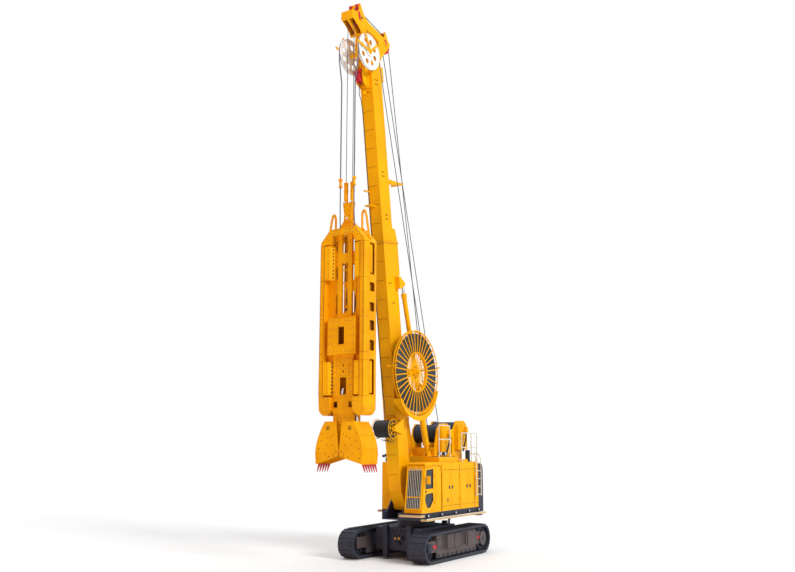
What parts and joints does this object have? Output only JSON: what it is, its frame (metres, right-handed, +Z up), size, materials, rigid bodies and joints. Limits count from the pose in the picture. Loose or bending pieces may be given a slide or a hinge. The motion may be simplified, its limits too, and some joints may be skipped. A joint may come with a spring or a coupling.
{
  "type": "diaphragm wall grab",
  "caption": "Crawler base machine with a forward-leaning box mast, winches and a hose reel, from which a hydraulic clamshell wall grab hangs on ropes.",
  "frame": {"origin": "on the ground under the slew axis", "axes": "+X forward, +Y to the operator's left, +Z up"},
  "size_m": [9.168, 4.1, 22.8208],
  "materials": {
    "yellow_paint": "gloss",
    "dark_paint": "satin",
    "track_steel": "satin",
    "cream_paint": "satin",
    "red_paint": "gloss",
    "white_paint": "satin",
    "bright_steel": "polished",
    "rope_steel": "satin",
    "cab_glass": "clear",
    "seat_cloth": "matte"
  },
  "bodies": {
    "undercarriage": {"carbody": "dark_paint", "track_frames": "dark_paint", "track_left": "track_steel", "track_right": "track_steel", "track_wheels": "track_steel"},
    "upper": {"slew_deck": "dark_paint", "walkways": "cream_paint", "cab_shell": "yellow_paint", "cab_roof": "yellow_paint", "cab_glass": "cab_glass", "cab_seat": "seat_cloth", "engine_house": "yellow_paint", "house_roof": "yellow_paint", "engine_block": "track_steel", "counterweight": "dark_paint", "winch_frame": "yellow_paint", "winch_covers": "yellow_paint", "handrails": "cream_paint"},
    "cab_door": {"cab_door": "yellow_paint"},
    "service_door_1": {"service_door_1": "yellow_paint"},
    "service_door_2": {"service_door_2": "yellow_paint"},
    "service_door_3": {"service_door_3": "yellow_paint"},
    "service_door_4": {"service_door_4": "yellow_paint"},
    "front_winch": {"winch_drum_front": "dark_paint"},
    "rear_winch": {"winch_drum_rear": "dark_paint"},
    "mast": {"mast_lower": "yellow_paint", "mast_upper": "yellow_paint", "mast_head": "yellow_paint", "reel_support": "yellow_paint", "cable_bracket": "yellow_paint"},
    "front_sheaves": {"front_sheaves": "red_paint"},
    "rear_sheaves": {"rear_sheaves": "red_paint"},
    "hose_disc_left": {"hose_disc_left": "white_paint"},
    "hose_disc_right": {"hose_disc_right": "white_paint"},
    "hose_reel": {"hose_reel": "yellow_paint"},
    "cable_drum": {"cable_drum": "yellow_paint"},
    "luff_barrels": {"luff_barrels": "yellow_paint"},
    "luff_rods": {"luff_rods": "bright_steel"},
    "rope_falls": {"hoist_ropes": "rope_steel"},
    "grab": {"grab_frame": "yellow_paint", "grab_head": "yellow_paint", "grab_pads": "yellow_paint", "grab_rails": "yellow_paint", "closing_cylinder": "yellow_paint"},
    "jaw_left": {"jaw_left": "yellow_paint", "teeth_left": "red_paint"},
    "jaw_right": {"jaw_right": "yellow_paint", "teeth_right": "red_paint"},
    "push_rod_left": {"push_rod_left": "bright_steel"},
    "push_rod_right": {"push_rod_right": "bright_steel"}
  },
  "joints": [
    {"name": "slew", "type": "hinge", "parent": "undercarriage", "child": "upper", "pos_m": [0, 0, 1.42], "axis": [0, 0, 1], "continuous": true},
    {"name": "cab_door_hinge", "type": "hinge", "parent": "upper", "child": "cab_door", "pos_m": [0.996, 1.492, 2.9], "axis": [0, 0, 1], "range_deg": [0, 110]},
    {"name": "service_door_1_hinge", "type": "hinge", "parent": "upper", "child": "service_door_1", "pos_m": [0.36, 1.482, 2.8], "axis": [0, 0, -1], "range_deg": [0, 85]},
    {"name": "service_door_2_hinge", "type": "hinge", "parent": "upper", "child": "service_door_2", "pos_m": [-1.19, 1.482, 2.8], "axis": [0, 0, 1], "range_deg": [0, 85]},
    {"name": "service_door_3_hinge", "type": "hinge", "parent": "upper", "child": "service_door_3", "pos_m": [-1.24, 1.482, 2.8], "axis": [0, 0, -1], "range_deg": [0, 85]},
    {"name": "service_door_4_hinge", "type": "hinge", "parent": "upper", "child": "service_door_4", "pos_m": [-2.58, 1.482, 2.8], "axis": [0, 0, 1], "range_deg": [0, 85]},
    {"name": "front_winch_turn", "type": "hinge", "parent": "upper", "child": "front_winch", "pos_m": [-1.12, 0, 5.06], "axis": [0, 1, 0], "continuous": true},
    {"name": "rear_winch_turn", "type": "hinge", "parent": "upper", "child": "rear_winch", "pos_m": [-2.7, 0, 5.22], "axis": [0, 1, 0], "continuous": true},
    {"name": "mast_luff", "type": "hinge", "parent": "upper", "child": "mast", "pos_m": [1.1, 0, 2.1], "axis": [0, 1, 0], "range_deg": [-3, 12]},
    {"name": "front_sheaves_turn", "type": "hinge", "parent": "mast", "child": "front_sheaves", "pos_m": [4.82, 0, 22.19], "axis": [0, 1, 0], "continuous": true},
    {"name": "rear_sheaves_turn", "type": "hinge", "parent": "mast", "child": "rear_sheaves", "pos_m": [2.95, 0, 21.8], "axis": [0, 1, 0], "continuous": true},
    {"name": "hose_disc_left_turn", "type": "hinge", "parent": "mast", "child": "hose_disc_left", "pos_m": [4.55954, 0.48, 20.71998], "axis": [0, 1, 0], "continuous": true},
    {"name": "hose_disc_right_turn", "type": "hinge", "parent": "mast", "child": "hose_disc_right", "pos_m": [4.55954, -0.48, 20.71998], "axis": [0, 1, 0], "continuous": true},
    {"name": "hose_reel_turn", "type": "hinge", "parent": "mast", "child": "hose_reel", "pos_m": [1.37993, 0.96, 7.5569], "axis": [0, 1, 0], "continuous": true},
    {"name": "cable_drum_turn", "type": "hinge", "parent": "mast", "child": "cable_drum", "pos_m": [2.74982, 0.19, 5.19972], "axis": [0, 1, 0], "continuous": true},
    {"name": "luff_barrels_tilt", "type": "hinge", "parent": "upper", "child": "luff_barrels", "pos_m": [-0.26, 0, 4.22], "axis": [0, 1, 0], "range_deg": [-4, 15]},
    {"name": "luff_rods_slide", "type": "slide", "parent": "luff_barrels", "child": "luff_rods", "axis": [0.28, 0, 0.96], "range_m": [-0.11, 0.43]},
    {"name": "rope_falls_tilt", "type": "hinge", "parent": "mast", "child": "rope_falls", "pos_m": [5.18, 0, 22.19], "axis": [0, 1, 0], "range_deg": [-12.5, 3.5]},
    {"name": "grab_hoist", "type": "slide", "parent": "rope_falls", "child": "grab", "axis": [0, 0, 1], "range_m": [-3.2, 0.75]},
    {"name": "jaw_right_close", "type": "hinge", "parent": "grab", "child": "jaw_right", "pos_m": [5.18, -0.2, 4.28], "axis": [1, 0, 0], "range_deg": [0, 72]},
    {"name": "jaw_left_close", "type": "hinge", "parent": "grab", "child": "jaw_left", "pos_m": [5.18, 0.2, 4.28], "axis": [-1, 0, 0], "range_deg": [0, 72.5]},
    {"name": "push_rod_right_swing", "type": "hinge", "parent": "jaw_right", "child": "push_rod_right", "pos_m": [5.18, -0.5, 5.2], "axis": [-1, 0, 0], "range_deg": [0, 104]},
    {"name": "push_rod_left_swing", "type": "hinge", "parent": "jaw_left", "child": "push_rod_left", "pos_m": [5.18, 0.5, 5.2], "axis": [1, 0, 0], "range_deg": [0, 104]}
  ],
  "couplings": [
    {"joint": "luff_barrels_tilt", "follows": "mast_luff", "ratio": 1.19},
    {"joint": "luff_rods_slide", "follows": "mast_luff", "m_per_rad": 2},
    {"joint": "rope_falls_tilt", "follows": "mast_luff", "ratio": -1},
    {"joint": "jaw_left_close", "follows": "jaw_right_close", "ratio": 1},
    {"joint": "push_rod_right_swing", "follows": "jaw_right_close", "ratio": 1.39},
    {"joint": "push_rod_left_swing", "follows": "jaw_right_close", "ratio": 1.39}
  ]
}
